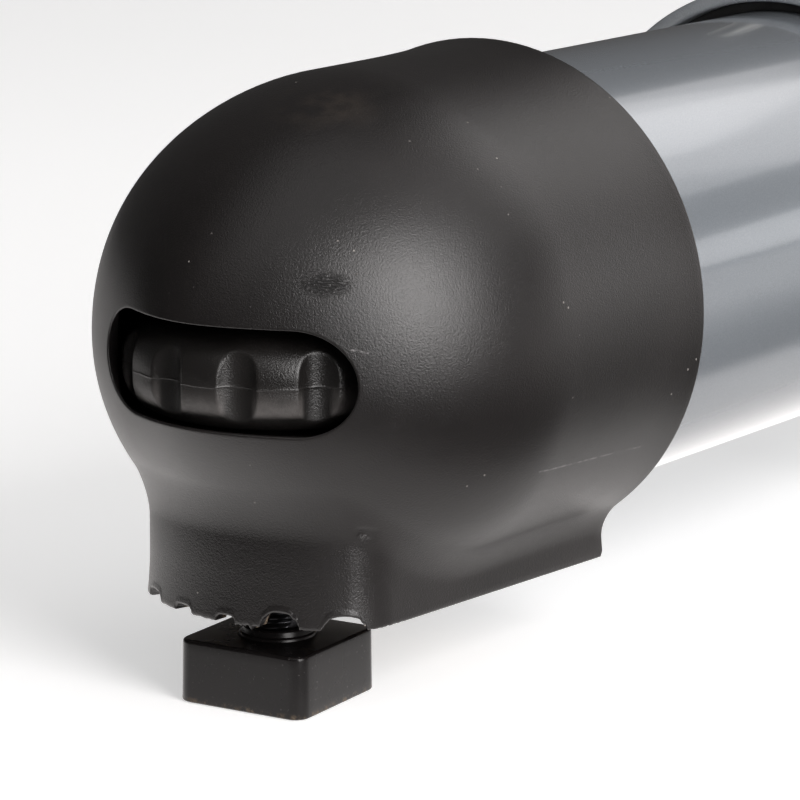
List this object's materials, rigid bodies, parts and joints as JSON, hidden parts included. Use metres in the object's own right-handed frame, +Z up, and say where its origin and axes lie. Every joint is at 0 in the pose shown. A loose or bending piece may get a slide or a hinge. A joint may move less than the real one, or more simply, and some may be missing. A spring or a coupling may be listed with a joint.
{
  "type": "levelling stabiliser crossbar",
  "caption": "Round steel floor crossbar for an exercise machine, with moulded end caps that each hold a thumbwheel-driven levelling foot.",
  "frame": {"origin": "on the floor, under the middle of the crossbar, with both feet as the picture shows them", "axes": "+X along the crossbar, +Z up; the saddle and its bolts lean back towards +Y"},
  "size_m": [0.4974, 0.0858, 0.1187],
  "materials": {
    "tube_paint": "glossy silver-grey paint",
    "saddle_paint": "glossy blue-grey paint",
    "liner_rubber": "matte",
    "bolt_zinc": "zinc plated, satin",
    "cap_plastic": "fine-grained satin black moulding",
    "wheel_plastic": "satin black moulding",
    "foot_plastic": "smooth satin black moulding",
    "sole_rubber": "matte",
    "bush_nylon": "natural nylon",
    "washer_steel": "satin",
    "nut_brass": "machined",
    "stem_steel": "zinc plated, satin"
  },
  "bodies": {
    "crossbar": {"crossbar_tube": "tube_paint", "saddle_plate": "saddle_paint", "saddle_liner": "liner_rubber", "frame_bolts": "bolt_zinc", "bolt_retainers": "washer_steel", "left_end_cap": "cap_plastic", "left_guide_bush": "bush_nylon", "left_upper_washer": "washer_steel", "left_lower_washer": "washer_steel", "left_cap_screws": "bolt_zinc", "right_end_cap": "cap_plastic", "right_guide_bush": "bush_nylon", "right_upper_washer": "washer_steel", "right_lower_washer": "washer_steel", "right_cap_screws": "bolt_zinc"},
    "left_wheel": {"left_thumbwheel": "wheel_plastic", "left_wheel_nut": "nut_brass"},
    "left_leg": {"left_stem": "stem_steel", "left_stop_ring": "washer_steel", "left_foot": "foot_plastic", "left_sole_pad": "sole_rubber"},
    "right_wheel": {"right_thumbwheel": "wheel_plastic", "right_wheel_nut": "nut_brass"},
    "right_leg": {"right_stem": "stem_steel", "right_stop_ring": "washer_steel", "right_foot": "foot_plastic", "right_sole_pad": "sole_rubber"}
  },
  "joints": [
    {"name": "left_wheel_spin", "type": "hinge", "parent": "crossbar", "child": "left_wheel", "pos_m": [-0.2221, 0, 0.0555], "axis": [0, 0, 1], "range_deg": [-960, 2400]},
    {"name": "left_foot_travel", "type": "slide", "parent": "crossbar", "child": "left_leg", "axis": [0, 0, -1], "range_m": [-0.004, 0.01]},
    {"name": "right_wheel_spin", "type": "hinge", "parent": "crossbar", "child": "right_wheel", "pos_m": [0.2221, 0, 0.0555], "axis": [0, 0, 1], "range_deg": [-960, 2400]},
    {"name": "right_foot_travel", "type": "slide", "parent": "crossbar", "child": "right_leg", "axis": [0, 0, -1], "range_m": [-0.004, 0.01]}
  ],
  "couplings": [
    {"joint": "left_foot_travel", "follows": "left_wheel_spin", "m_per_rad": 0.00023873},
    {"joint": "right_foot_travel", "follows": "right_wheel_spin", "m_per_rad": 0.00023873}
  ]
}
